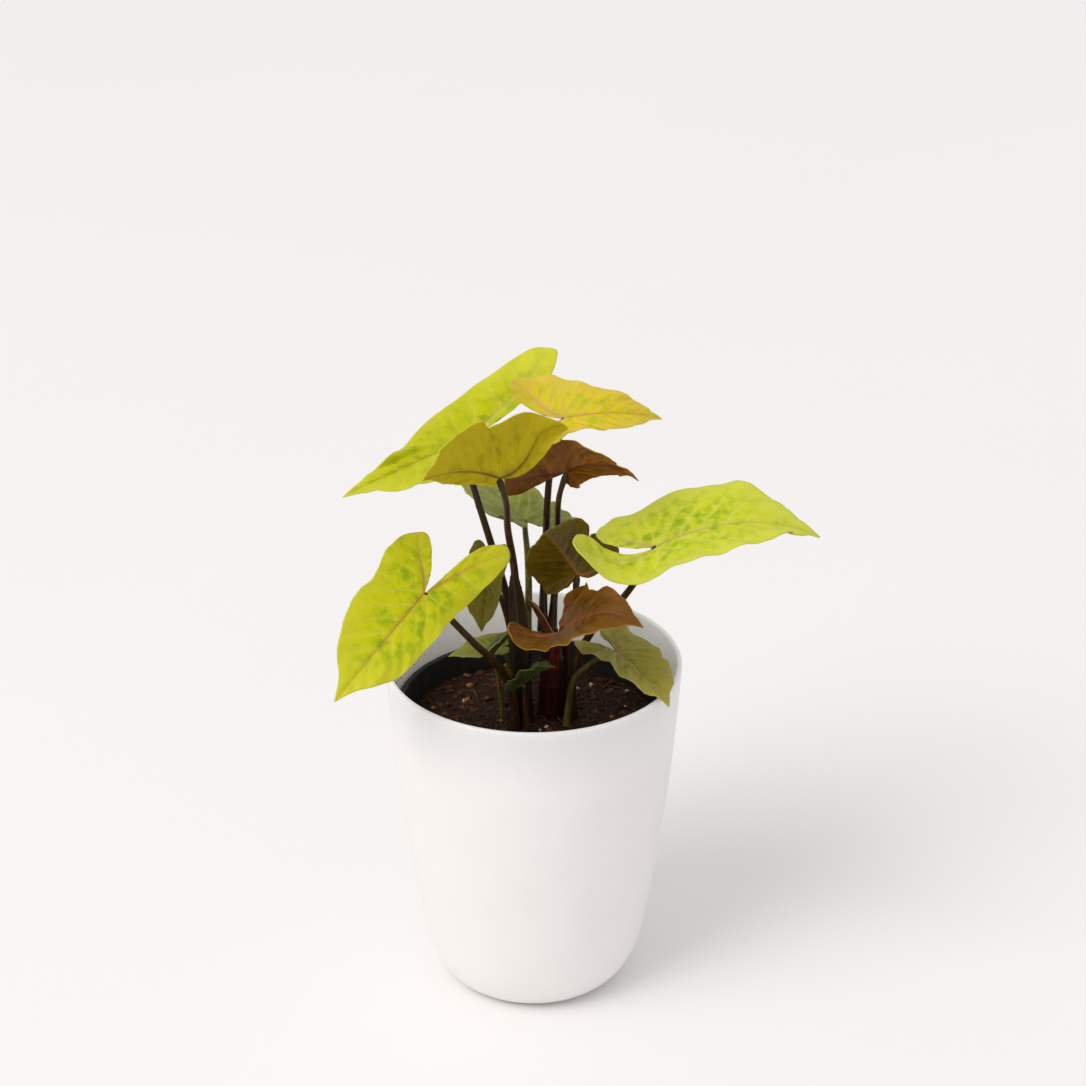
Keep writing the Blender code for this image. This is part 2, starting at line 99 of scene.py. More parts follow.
def add_node(mat, kind, links=(), **settings):
    """A node of a material, with its settings, then (socket, value or output) pairs."""
    node = mat.node_tree.nodes.new("ShaderNode" + kind)
    for key, value in settings.items():
        setattr(node, key, value)
    for socket, value in links:
        if isinstance(value, bpy.types.NodeSocket):
            mat.node_tree.links.new(value, node.inputs[socket])
        else:
            node.inputs[socket].default_value = value
    return node


def new_material(name):
    """A new material and its Principled shader."""
    mat = bpy.data.materials.new(name)
    mat.use_nodes = True
    return mat, mat.node_tree.nodes["Principled BSDF"]


def spun(profile, steps):
    """A bmesh of a profile of (radius, height) turned about Z."""
    bm = bmesh.new()
    chain = [bm.verts.new((r, 0.0, z)) for r, z in profile]
    edges = [bm.edges.new(pair) for pair in zip(chain, chain[1:])]
    bmesh.ops.spin(bm, geom=chain + edges, cent=(0, 0, 0), axis=(0, 0, 1), dvec=(0, 0, 0),
                   angle=2 * math.pi, steps=steps, use_merge=True, use_duplicate=False)
    bmesh.ops.remove_doubles(bm, verts=bm.verts, dist=0.001)
    bmesh.ops.recalc_face_normals(bm, faces=bm.faces)
    return bm


def finish_piece(name, bm, mats, stands_for=None):
    """The object of a bmesh in millimetres, riding on the plant's one body."""
    bmesh.ops.transform(bm, matrix=Matrix.Scale(MM, 4), verts=bm.verts)
    mesh = bpy.data.meshes.new(name)
    bm.to_mesh(mesh)
    bm.free()
    for mat in mats:
        mesh.materials.append(mat)
    mesh.polygons.foreach_set("use_smooth", [True] * len(mesh.polygons))
    piece = bpy.data.objects.new(name, mesh)
    bpy.context.scene.collection.objects.link(piece)
    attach(piece, "root")
    if stands_for:
        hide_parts(stands_for)
    return piece


def planter_profile():
    """The planter's section, as (radius, height), from under its middle to the middle of its floor."""
    foot = [FOOT_ROUND_HIGH * (1 - math.cos(a)) for a in np.linspace(0, FOOT_ROUND_END, 26)[1:]]
    side = list(np.linspace(foot[-1], POT_HEIGHT - POT_WALL / 2, 40)[1:])
    gate_z = RECESS_DEPTH + GATE_MARK
    under = [(0.0, gate_z), (GATE_RADIUS, gate_z), (GATE_RADIUS + GATE_MARK, RECESS_DEPTH),
             (RECESS_RADIUS - RECESS_SLOPE, RECESS_DEPTH), (RECESS_RADIUS, RECESS_STEP),
             (RECESS_RADIUS + RECESS_LIP, 0.0)]
    outside = [(POT_FOOT, 0.0)] + [(pot_radius(z), z) for z in foot + side]
    rim_z = POT_HEIGHT - POT_WALL / 2
    rim_r = pot_radius(rim_z) - POT_WALL / 2
    rim = [(rim_r + POT_WALL / 2 * math.cos(a), rim_z + POT_WALL / 2 * math.sin(a))
           for a in np.linspace(0, math.pi, 11)[1:]]
    inside = []
    for z in reversed([POT_FLOOR] + [z for z in foot if z > POT_FLOOR + 1] + side[:-1]):
        wall = POT_WALL + FOOT_WALL_EXTRA * max(0.0, 1 - z / FOOT_WALL_HIGH) ** 2
        inside.append((pot_radius(z) - wall, z))
    return under + outside + rim + inside + [(0.0, POT_FLOOR)]


# Satin polypropylene: an even white with a soft broad highlight, very faint flow mottling in the
# gloss and a fine orange-peel from the mould's texture. Daylight glows through the wall at its rim.
def satin_polypropylene():
    mat, shader = new_material("moulded_polypropylene_satin_white")
    place = add_node(mat, "TexCoord").outputs["Object"]
    flow = add_node(mat, "TexNoise", [("Vector", place), ("Scale", 1 / (30 * MM)), ("Detail", 3.0)])
    white = add_node(mat, "ValToRGB", [("Fac", flow.outputs["Fac"])])
    white.color_ramp.elements[0].color = linear("efebe9")
    white.color_ramp.elements[1].color = linear("f5f2f0")
    gloss = add_node(mat, "MapRange", [("Value", flow.outputs["Fac"]), ("To Min", 0.30),
                                       ("To Max", 0.42)])
    peel = add_node(mat, "TexNoise", [("Vector", place), ("Scale", 1 / (1.4 * MM)), ("Detail", 2.0)])
    bump = add_node(mat, "Bump", [("Height", peel.outputs["Fac"]), ("Strength", 0.12),
                                  ("Distance", 0.05 * MM)])
    height = add_node(mat, "SeparateXYZ", [("Vector", place)]).outputs["Z"]
    glow = add_node(mat, "MapRange", [("Value", height), ("From Min", GLOW_FROM * MM),
                                      ("From Max", POT_HEIGHT * MM), ("To Min", 0.12), ("To Max", 0.85)])
    links = mat.node_tree.links
    links.new(white.outputs["Color"], shader.inputs["Base Color"])
    links.new(gloss.outputs["Result"], shader.inputs["Roughness"])
    links.new(bump.outputs["Normal"], shader.inputs["Normal"])
    links.new(glow.outputs["Result"], shader.inputs["Subsurface Weight"])
    shader.inputs["IOR"].default_value = 1.49
    shader.inputs["Subsurface Radius"].default_value = (1.0, 0.96, 0.86)
    shader.inputs["Subsurface Scale"].default_value = GLOW_DEPTH * MM
    return mat


finish_piece("cover_pot", spun(planter_profile(), 192), [satin_polypropylene()],
             "planter")

# ---------------------------------------------------------------------------------------------
# Nursery pot
# A thin black pot of recycled polypropylene, thermoformed, with a thicker lip. It is the pot the
# plant was grown in, and it stands loose inside the cover pot.
# ---------------------------------------------------------------------------------------------
LINER_TOP = 135.0
LINER_RADIUS = 59.0
LINER_SHOULDER = 38.0
LINER_LOW = 8.3


# Recycled black plastic: near black, a dull sheen, forming rings and a dusting of dry soil.
def recycled_black_plastic():
    mat, shader = new_material("thermoformed_polypropylene_black")
    place = add_node(mat, "TexCoord").outputs["Object"]
    dust = add_node(mat, "TexNoise", [("Vector", place), ("Scale", 1 / (6 * MM)), ("Detail", 6.0)])
    black = add_node(mat, "ValToRGB", [("Fac", dust.outputs["Fac"])])
    black.color_ramp.elements[0].position = 0.52
    black.color_ramp.elements[0].color = linear("0e0d0c")
    black.color_ramp.elements[1].position = 0.78
    black.color_ramp.elements[1].color = linear("2b231c")
    rings = add_node(mat, "TexWave", [("Vector", place), ("Scale", 1 / (24 * MM)), ("Distortion", 0.4)],
                     bands_direction="Z")
    bump = add_node(mat, "Bump", [("Height", rings.outputs["Fac"]), ("Strength", 0.2),
                                  ("Distance", 0.3 * MM)])
    links = mat.node_tree.links
    links.new(black.outputs["Color"], shader.inputs["Base Color"])
    links.new(bump.outputs["Normal"], shader.inputs["Normal"])
    shader.inputs["Roughness"].default_value = 0.5
    shader.inputs["IOR"].default_value = 1.49
    return mat


nursery_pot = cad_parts["nursery_pot"]
for slot_of_pot in nursery_pot.material_slots:
    slot_of_pot.material = recycled_black_plastic()

# ---------------------------------------------------------------------------------------------
# Soil
# Coir and peat potting mix: a crumbly dark-brown mound with chips of husk, short pale fibres,
# a few grains of perlite and some fired-clay grit. Crumbs also stick to the pot's inner wall.
# ---------------------------------------------------------------------------------------------
SOIL_EDGE = 124.0
SOIL_MOUND = 5.0
SOIL_FLOOR = 4.8
SOIL_RELIEF = 2.0
SOIL_CLEAR = 1.4


def soil_radius(z):
    """The soil's radius at a height, just inside the nursery pot's tapered wall."""
    rise = (z - LINER_LOW) / (LINER_TOP - LINER_LOW)
    return LINER_SHOULDER + (LINER_RADIUS - LINER_SHOULDER) * rise - SOIL_CLEAR


SOIL_TOP_RADIUS = soil_radius(SOIL_EDGE)


def soil_height(x, y):
    """Height of the smooth mound."""
    spread = min(1.0, math.hypot(x, y) / SOIL_TOP_RADIUS)
    return SOIL_EDGE + SOIL_MOUND * (1 - spread ** 2)


def soil_relief(x, y):
    """Lumps of the loose surface above or below the smooth mound."""
    spot = Vector((x, y, 0.0))
    clods = noise.noise(spot / 9.0) * 0.9 + noise.noise(spot / 4.0) * 0.6
    grains = abs(noise.noise(spot / 1.7)) * 0.5 + noise.noise(spot / 0.8) * 0.15
    return SOIL_RELIEF * (clods * 0.6 + grains - 0.25)


def soil_profile():
    """The root ball's section, as (radius, height), from under its middle to the top of the mound."""
    low = [(0.0, SOIL_FLOOR), (LINER_SHOULDER - 6.0, SOIL_FLOOR), (soil_radius(LINER_LOW), LINER_LOW)]
    side = [(soil_radius(z), z) for z in np.linspace(LINER_LOW, SOIL_EDGE, 9)[1:]]
    top = [(r, soil_height(r, 0.0)) for r in SOIL_TOP_RADIUS * np.linspace(1, 0, 90)[1:]]
    return low + side + top


# Damp coir: red-brown on the crumbs, with tan threads; matt throughout. Its darkest colour, almost black
# on the soil, is painted shade for the gaps between crumbs, laid where the noise is low rather than in
# the gaps themselves.
def damp_coir(name, dark, brown, light, grain):
    mat, shader = new_material(name)
    place = add_node(mat, "TexCoord").outputs["Object"]
    clumps = add_node(mat, "TexNoise", [("Vector", place), ("Scale", 1 / (grain * MM)), ("Detail", 8.0),
                                        ("Roughness", 0.7)])
    colours = add_node(mat, "ValToRGB", [("Fac", clumps.outputs["Fac"])])
    ramp = colours.color_ramp
    # The first colour is the darkest: on the soil and its crumbs it is painted shade for the gaps between
    # crumbs.
    ramp.elements[0].position = 0.36
    ramp.elements[0].color = linear(dark)
    ramp.elements[1].position = 0.76
    ramp.elements[1].color = linear(light)
    ramp.elements.new(0.56).color = linear(brown)
    grit = add_node(mat, "TexVoronoi", [("Vector", place), ("Scale", 1 / (1.1 * MM))])
    bump = add_node(mat, "Bump", [("Height", grit.outputs["Distance"]), ("Strength", 0.7),
                                  ("Distance", 0.5 * MM)])
    links = mat.node_tree.links
    links.new(colours.outputs["Color"], shader.inputs["Base Color"])
    links.new(bump.outputs["Normal"], shader.inputs["Normal"])
    shader.inputs["Roughness"].default_value = 0.9
    shader.inputs["Specular IOR Level"].default_value = 0.25
    return mat


soil_body = spun(soil_profile(), 220)
for vert in soil_body.verts:
    if vert.co.z > SOIL_EDGE - 0.01:
        vert.co.z += soil_relief(vert.co.x, vert.co.y)
# 0f0704, almost black, is painted shade for the gaps between crumbs.
finish_piece("potting_soil", soil_body, [damp_coir("damp_coir_soil", "0f0704", "2e170b", "6b4124", 3.0)],
             "soil")

CRUMB_COUNT = 900
CHIP_COUNT = 90
FIBRE_COUNT = 150
FIBRE_POINTS = 7
PERLITE_COUNT = 26
GRIT_COUNT = 30
dice = random.Random(7)


def spot_on_soil():
    """A random place on the soil's lumpy surface."""
    reach = (SOIL_TOP_RADIUS - 1.5) * math.sqrt(dice.random())
    turn = dice.uniform(0, 2 * math.pi)
    x, y = reach * math.cos(turn), reach * math.sin(turn)
    return Vector((x, y, soil_height(x, y) + soil_relief(x, y)))


def tumbled():
    """A random turn about Z, with a tilt."""
    turn = Matrix.Rotation(dice.uniform(0, 2 * math.pi), 4, "Z")
    return turn @ Matrix.Rotation(dice.uniform(-0.7, 0.7), 4, "X")


def add_lump(bm, centre, size, squash, detail):
    """One crumb: a small icosphere knocked out of round, flattened and turned."""
    shape = Matrix.Diagonal((size * dice.uniform(0.7, 1.3), size, size * squash, 1.0))
    lump = bmesh.ops.create_icosphere(bm, subdivisions=detail, radius=1.0,
                                      matrix=Matrix.Translation(centre) @ tumbled() @ shape)
    for corner in lump["verts"]:
        corner.co += (corner.co - centre) * dice.uniform(-0.3, 0.3)


crumbs = bmesh.new()
for _ in range(CRUMB_COUNT):
    size_of_crumb = 0.45 + 1.3 * dice.random() ** 2.5
    add_lump(crumbs, spot_on_soil(), size_of_crumb, 0.7, 1)
# 160a05, almost black, is painted shade for the gaps between crumbs.
crumb_coir = damp_coir("coir_crumbs", "160a05", "3d2110", "84552f", 1.5)
finish_piece("soil_crumbs", crumbs, [crumb_coir])

chips = bmesh.new()
for _ in range(CHIP_COUNT):
    add_lump(chips, spot_on_soil() + Vector((0, 0, 0.4)), dice.uniform(1.2, 2.8), 0.28, 1)
finish_piece("husk_chips", chips, [damp_coir("coconut_husk_chips", "24120a", "5b331a", "a06a3c", 2.0)])


def add_strand(bm, path, radii, sides):
    """A tube along a path: a grid rolled up and its seam merged. Its ends stay open."""
    steps = len(path) - 1
    sheet = bmesh.ops.create_grid(bm, x_segments=sides, y_segments=steps, size=1.0)["verts"]
    tangent = np.gradient(path, axis=0)
    tangent /= np.linalg.norm(tangent, axis=1)[:, None]
    across = np.cross(tangent[0], (0.31, 0.94, 0.13))
    frames = []
    for way in tangent:
        across = across - way * across.dot(way)
        across = across / np.linalg.norm(across)
        frames.append((across, np.cross(way, across)))
    for corner in sheet:
        turn = (corner.co.x + 1) * math.pi
        k = round((corner.co.y + 1) / 2 * steps)
        side, other = frames[k]
        corner.co = Vector(path[k] + radii[k] * (math.cos(turn) * side + math.sin(turn) * other))
    bmesh.ops.remove_doubles(bm, verts=sheet, dist=min(radii) * 0.05)


def close_ends(bm):
    """Caps on the open ends of the tubes of a bmesh."""
    rim = [edge for edge in bm.edges if edge.is_boundary]
    bmesh.ops.holes_fill(bm, edges=rim, sides=0)
    bmesh.ops.recalc_face_normals(bm, faces=bm.faces)


fibres = bmesh.new()
for _ in range(FIBRE_COUNT):
    start = spot_on_soil() + Vector((0, 0, 0.3))
    heading = dice.uniform(0, 2 * math.pi)
    curl = dice.uniform(-1.4, 1.4)
    span = dice.uniform(3.0, 10.0)
    line = []
    for part in np.linspace(0, 1, FIBRE_POINTS):
        way = heading + curl * part
        line.append((start.x + span * part * math.cos(way), start.y + span * part * math.sin(way)))
    if max(math.hypot(*point) for point in line) < SOIL_TOP_RADIUS - 1:
        arch = [0.3 + 1.1 * math.sin(math.pi * i / (FIBRE_POINTS - 1)) for i in range(FIBRE_POINTS)]
        lifted = [(x, y, soil_height(x, y) + soil_relief(x, y) + rise)
                  for (x, y), rise in zip(line, arch)]
        add_strand(fibres, np.array(lifted), [dice.uniform(0.09, 0.2)] * FIBRE_POINTS, 5)
close_ends(fibres)
fibre_coir = damp_coir("coir_fibre", "3a2313", "7c5632", "b89468", 4.0)
finish_piece("coir_fibres", fibres, [fibre_coir])


# Perlite: puffed volcanic glass, chalky white and dusty, with soil rubbed into its pits.
def puffed_perlite():
    mat, shader = new_material("puffed_perlite_white")
    place = add_node(mat, "TexCoord").outputs["Object"]
    pits = add_node(mat, "TexNoise", [("Vector", place), ("Scale", 1 / (0.9 * MM)), ("Detail", 4.0)])
    chalk = add_node(mat, "ValToRGB", [("Fac", pits.outputs["Fac"])])
    chalk.color_ramp.elements[0].position = 0.34
    chalk.color_ramp.elements[0].color = linear("6f5a48")
    chalk.color_ramp.elements[1].position = 0.55
    chalk.color_ramp.elements[1].color = linear("d9cfc2")
    mat.node_tree.links.new(chalk.outputs["Color"], shader.inputs["Base Color"])
    shader.inputs["Roughness"].default_value = 0.95
    return mat


perlite = bmesh.new()
for _ in range(PERLITE_COUNT):
    add_lump(perlite, spot_on_soil() + Vector((0, 0, 0.4)), dice.uniform(0.6, 1.2), 0.8, 2)
finish_piece("perlite_grains", perlite, [puffed_perlite()])

grit_pieces = bmesh.new()
for _ in range(GRIT_COUNT):
    add_lump(grit_pieces, spot_on_soil() + Vector((0, 0, 0.5)), dice.uniform(0.8, 1.7), 0.75, 2)
finish_piece("clay_grit", grit_pieces, [damp_coir("fired_clay_grit", "5a2f16", "9a6134", "c9925c", 1.6)])

# Crumbs splashed on the inner wall on watering, thickest at the left above the nursery pot.
SPLASH_COUNT = 60
SPLASH_FROM, SPLASH_TO = 137.0, 152.0
splash = bmesh.new()
for _ in range(SPLASH_COUNT):
    side_turn = math.radians(dice.gauss(165, 22))
    up_wall = min(SPLASH_TO, SPLASH_FROM + abs(dice.gauss(0, 6)))
    inner = pot_radius(up_wall) - POT_WALL
    on_wall = Vector((inner * math.cos(side_turn), inner * math.sin(side_turn), up_wall))
    add_lump(splash, on_wall, 0.2 + 0.35 * dice.random() ** 2, 0.7, 1)
finish_piece("wall_crumbs", splash, [damp_coir("dried_soil_specks", "1c110b", "3a2618", "5f4630", 1.0)])

# ---------------------------------------------------------------------------------------------
# Stems
# Two stems come out of the soil: the old one, thick and dark red with rings where leaves were
# shed, and a younger brown one wrapped in the feet of the tall stalks.
# ---------------------------------------------------------------------------------------------
STEMS = {
    "main_stem": dict(radii=(5.6, 5.2, 4.4), rings=(8, 21, 33),
                      route=[(7, 2, None), (8, 2, 151), (6, 3, 172)]),
    "side_stem": dict(radii=(3.6, 4.2, 5.2), rings=(12, 30),
                      route=[(-3, -7, None), (-5, -6, 151), (-6, -5.5, 174)]),
}
STEM_SINK = 6.0
STEM_END = (0.95, 0.8, 0.45)
RING_HEIGHT = 0.45
RING_SPREAD = 0.9


def smooth_route(route, steps):
    """A smooth curve through the points of a route (Catmull-Rom), as an array of points."""
    pts = np.array(route, float)
    pts = np.vstack([2 * pts[0] - pts[1], pts, 2 * pts[-1] - pts[-2]])
    out = []
    for a, b, c, d in zip(pts, pts[1:], pts[2:], pts[3:]):
        for t in np.arange(steps) / steps:
            out.append(0.5 * (2 * b + (c - a) * t + (2 * a - 5 * b + 4 * c - d) * t ** 2
                              + (3 * b - a - 3 * c + d) * t ** 3))
    return np.array(out + [pts[-2]])


def rooted(route, sink):
    """The route of a stem or stalk that starts in the soil, taken down into it by sink."""
    points = [list(p) for p in route]
    if points[0][2] is None:
        points[0][2] = soil_height(points[0][0], points[0][1]) - sink
    return points


# Stem skin: smooth and slightly waxy, streaked along its length, with paler corky flecks.
def stem_skin(name, dark, body, fleck, rough):
    mat, shader = new_material(name)
    place = add_node(mat, "TexCoord").outputs["Object"]
    drawn = add_node(mat, "Mapping", [("Vector", place), ("Scale", (1.0, 1.0, 0.12))])
    streaks = add_node(mat, "TexNoise", [("Vector", drawn.outputs["Vector"]), ("Scale", 1 / (1.6 * MM)),
                                         ("Detail", 4.0), ("Roughness", 0.6)])
    colours = add_node(mat, "ValToRGB", [("Fac", streaks.outputs["Fac"])])
    ramp = colours.color_ramp
    ramp.elements[0].position = 0.35
    ramp.elements[0].color = linear(dark)
    ramp.elements[1].position = 0.62
    ramp.elements[1].color = linear(body)
    ramp.elements.new(0.74).color = linear(fleck)
    bump = add_node(mat, "Bump", [("Height", streaks.outputs["Fac"]), ("Strength", 0.35),
                                  ("Distance", 0.25 * MM)])
    links = mat.node_tree.links
    links.new(colours.outputs["Color"], shader.inputs["Base Color"])
    links.new(bump.outputs["Normal"], shader.inputs["Normal"])
    shader.inputs["Roughness"].default_value = rough
    shader.inputs["IOR"].default_value = 1.42
    shader.inputs["Specular IOR Level"].default_value = 0.3
    return mat


STEM_SKINS = {
    "main_stem": ("stem_red", ("stem_skin_dark_red", "1d0705", "3c0f0b", "6a2018")),
    "side_stem": ("stem_brown", ("stem_skin_brown", "140b06", "2b1a0e", "4a3620")),
}
for stem_name, stem in STEMS.items():
    path = smooth_route(rooted(stem["route"], STEM_SINK), 24)
    along = np.r_[0, np.cumsum(np.linalg.norm(np.diff(path, axis=0), axis=1))]
    girth = np.interp(along / along[-1], np.linspace(0, 1, len(stem["radii"])), stem["radii"])
    for ring in stem["rings"]:
        girth = girth + RING_HEIGHT * np.exp(-((along - ring) / RING_SPREAD) ** 2)
    girth[-len(STEM_END):] *= STEM_END
    tube = bmesh.new()
    add_strand(tube, path, girth, 40)
    axis_at = path[:, 2]
    for vert in tube.verts:
        across = [np.interp(vert.co.z, axis_at, path[:, k]) for k in (0, 1)]
        centre = Vector(across + [vert.co.z])
        way = vert.co - centre
        ribs = noise.noise(Vector((math.atan2(way.y, way.x) * 3.0, vert.co.z / 22.0, 0.0)))
        vert.co += way * 0.07 * ribs
    close_ends(tube)
    stem_slot, hues = STEM_SKINS[stem_name]
    finish_piece(stem_name + "_skin", tube, [stem_skin(*hues, 0.42)], stem_name)

# ---------------------------------------------------------------------------------------------
# Leaves
# Thin arrow-shaped blades. Each is one sheet, folded along its midrib, with two lobes reaching
# back past the stalk, a wavy margin and the tissue puffed up a little between the veins.
# ---------------------------------------------------------------------------------------------
BLADE_THICKNESS = 0.5

# A blade longer than LARGE_BLADE has the finer mesh, of steps for each outline point and rings.
# Puffs and waves are as high as they are named on a blade of RELIEF_LENGTH, and lower on a shorter one.
LARGE_BLADE = 35
LARGE_BLADE_MESH = (8, 56)
SMALL_BLADE_MESH = (5, 26)
RELIEF_LENGTH = 50

# Half of a flat blade in leaf lengths: (across, along). The junction with the stalk is at (0, 0)
# and the tip at (0, 1). It starts on the inner side of the lobe, which reaches back.
HALF_OUTLINE = [(0.07, -0.22), (0.15, -0.38), (0.27, -0.45), (0.38, -0.38), (0.43, -0.22),
                (0.405, -0.06), (0.40, 0.08), (0.40, 0.23), (0.38, 0.40), (0.325, 0.58),
                (0.22, 0.74), (0.10, 0.85), (0.0, 1.0)]
HALF_WIDTH = 0.43
LOBE_REACH = 0.45

# What a half does when a leaf says nothing else. Angles are in degrees. spread and fold may be
# four values, at the lobe, the stalk, the middle and near the tip.
#   spread: how broad the half is; fold: how far it rises from the rib
#   lobe: how far the lobe reaches back; turn: how far it is turned outward
#   cup: how much more the half rises by the margin; lift: how far the lobe's end rises
#   wave: height of the margin's waves in millimetres
STATIONS = (-LOBE_REACH, 0.0, 0.45, 0.9)
HALF = dict(spread=1.0, fold=10, lobe=1.0, turn=0, cup=0, lift=0, wave=3.4)

# How each leaf is held. heading is the compass way of the midrib (0 is +X, 90 is +Y), pitch is how far it
# climbs, roll lifts the right half, droop and hook bend the tip down, sweep bends it sideways.
LEAVES = {
    "left_leaf": dict(
        base=(-45, -40, 210), heading=-126, pitch=-22, roll=38, length=61, droop=20,
        right=dict(spread=(0.75, 0.9, 0.9, 0.85), lobe=0.85, turn=10, fold=5, lift=5),
        left=dict(spread=(1.0, 0.65, 0.68, 0.65), lobe=1.35, turn=-3, fold=8, cup=-50, lift=28)),
    "right_leaf": dict(
        base=(52, -12, 218), heading=3, pitch=28, roll=-6, length=74, droop=50, hook=8,
        right=dict(fold=(-25, -5, 5, 5), spread=(0.9, 0.7, 0.75, 0.85), lobe=1.05, turn=-15, lift=88),
        left=dict(fold=8, spread=(0.7, 0.9, 1.0, 1.0), lobe=0.75, lift=50)),
    "top_left_leaf": dict(
        base=(-28, -2, 262), heading=-136, pitch=0, roll=30, length=66, droop=10,
        right=dict(fold=0, spread=(1.0, 0.72, 0.35, 0.4), lobe=1.9, turn=-7, lift=30, wave=5),
        left=dict(fold=30, spread=0.8, lobe=0.5, wave=5)),
    "top_front_leaf": dict(
        base=(-14, -35, 260.5), heading=-133, pitch=33, roll=-95, length=48, sweep=-30,
        right=dict(fold=20, spread=(0.15, 0.2, 0.35, 0.4), lobe=0.2),
        left=dict(fold=0, spread=(0.5, 1.2, 1.1, 1.1), lobe=1.85, turn=38, lift=-20)),
    "top_right_leaf": dict(
        base=(13, 3, 270.5), heading=-13, pitch=18, roll=-45, length=44, droop=60,
        right=dict(fold=18, spread=0.55, lobe=0.7, turn=25),
        left=dict(spread=(0.8, 0.95, 0.65, 0.6), fold=5, lobe=1.35, turn=14, lift=35)),
    "centre_top_leaf": dict(
        base=(14, -5, 249), heading=-40, pitch=42, roll=92, length=42, sweep=60,
        right=dict(fold=0, spread=(1.0, 1.0, 0.35, 0.35), lobe=2.0, turn=-5),
        left=dict(fold=35, spread=0.5, lobe=0.3)),
    "bronze_leaf": dict(
        base=(19, -3, 200), heading=-150, pitch=60, roll=-66, length=40, droop=35,
        right=dict(fold=0, spread=(0.9, 1.0, 1.1, 1.1), lobe=0.25),
        left=dict(fold=28, spread=1.1, lobe=1.0, turn=38)),
    "front_leaf": dict(
        base=(13, -31, 188.5), heading=-48, pitch=42, roll=-33, length=46, droop=20, hook=60,
        right=dict(fold=10, spread=(0.8, 0.78, 0.92, 0.9), lobe=1.3, turn=-8, lift=80),
        left=dict(fold=5, spread=(1.05, 1.05, 0.85, 0.8), lobe=0.8, turn=32)),
    "low_right_leaf": dict(
        base=(36, -14, 168), heading=-50, pitch=-6, roll=5, length=37, droop=25,
        right=dict(fold=5, spread=0.78, turn=15),
        left=dict(fold=5, spread=1.1, turn=-10)),
    "back_leaf": dict(
        base=(-4, 32, 209), heading=121, pitch=8, roll=-8, length=57, droop=8,
        right=dict(fold=25, lift=30, spread=0.65),
        left=dict(fold=22, spread=1.2, turn=15, lift=30)),
    "hanging_leaf": dict(
        base=(-19, -9, 205), heading=-110, pitch=-60, length=27, droop=20,
        right=dict(fold=20, spread=0.8),
        left=dict(fold=20, spread=0.8)),
    "low_left_leaf": dict(
        base=(-14, 9, 158), heading=172, pitch=-10, roll=10, length=25, droop=12,
        right=dict(fold=15, spread=0.8),
        left=dict(fold=15, spread=0.8, lobe=0.6)),
    "folded_leaf": dict(
        base=(-17.5, -3, 161), heading=20, pitch=50, roll=20, length=15, droop=10,
        right=dict(fold=40, spread=0.8, lobe=0.4),
        left=dict(fold=40, spread=0.8, lobe=0.4)),
    "stem_leaf": dict(
        base=(-4, -21, 156), heading=-25, pitch=55, roll=10, length=20, droop=30,
        right=dict(fold=35, spread=0.9, lobe=0.7),
        left=dict(fold=35, spread=0.9, lobe=0.7)),
    "sheath": dict(
        base=(-5.9, -13.9, 176), heading=-127, pitch=83, roll=-37, length=38,
        right=dict(fold=40, spread=(0.36, 0.34, 0.3, 0.3), lobe=0.2, wave=0.3),
        left=dict(fold=40, spread=(0.36, 0.34, 0.3, 0.3), lobe=0.2, wave=0.3)),
    "bract": dict(
        base=(4.9, -5.1, 174.0), heading=197, pitch=66, length=18,
        right=dict(fold=30, spread=0.7, lobe=0.3, wave=0.3),
        left=dict(fold=30, spread=0.7, lobe=0.3, wave=0.3)),
}


def ease(t):
    """From 0 to 1 as t does, with a soft start and end."""
    t = np.clip(t, 0, 1)
    return t * t * (3 - 2 * t)


def along_half(value, v):
    """A value at places v along a half, from one number or from four at the stations."""
    if np.isscalar(value):
        return np.full_like(v, float(value))
    return np.polyval(np.polyfit(STATIONS, value, 3), v)


# In leaf lengths: where the tip's hook starts and how far it takes to bend, the slant of the line
# behind which a lobe turns and how far that takes, and the span over which the rib is worked out.
HOOK_FROM, HOOK_OVER = 0.4, 0.55
TURN_SLANT, TURN_OVER = 1.2, 0.6
RIB_SPAN = (-1.2, 1.05)
RIB_PLACES = 226


def rib_frames(leaf, t, lift):
    """Way along the rib, way across it to the right, and upper-side normal at stations t."""
    heading, pitch, roll = (math.radians(leaf.get(k, 0)) for k in ("heading", "pitch", "roll"))
    onward = np.array([math.cos(heading), math.sin(heading), 0.0])
    along = math.cos(pitch) * onward + np.array([0.0, 0.0, math.sin(pitch)])
    level = np.array([math.sin(heading), -math.cos(heading), 0.0])
    across = math.cos(roll) * level + math.sin(roll) * np.cross(level, along)
    normal = np.cross(across, along)
    forward = np.clip(t, 0, None)
    bend = -np.radians(leaf.get("droop", 0)) * forward
    bend = bend - np.radians(leaf.get("hook", 0)) * ease((t - HOOK_FROM) / HOOK_OVER)
    bend = bend + np.radians(lift) * np.clip(t, None, 0) / LOBE_REACH
    side = np.radians(leaf.get("sweep", 0)) * forward
    flat = np.cos(side)[:, None] * along - np.sin(side)[:, None] * across
    ahead = np.cos(bend)[:, None] * flat + np.sin(bend)[:, None] * normal
    upper = np.cos(bend)[:, None] * normal - np.sin(bend)[:, None] * flat
    return ahead, np.cross(ahead, upper), upper


# The veins' layout in leaf lengths: how far apart side veins leave a rib, and how they slant and
# curve. A lobe has a rib and side veins of its own. The two halves' side veins leave the midrib a
# little apart, and cloudiness in the skin makes them stray within a share of their spacing.
VEIN_SPACING = 0.135
VEIN_SLANT = 0.62
VEIN_CURVE = 0.75
LOBE_RIB_ACROSS, LOBE_RIB_BACK = 0.60, 0.80
LOBE_SPACING = 0.12
LOBE_START = 0.333
SIDE_SHIFT = 0.08
VEIN_STRAY = 0.6

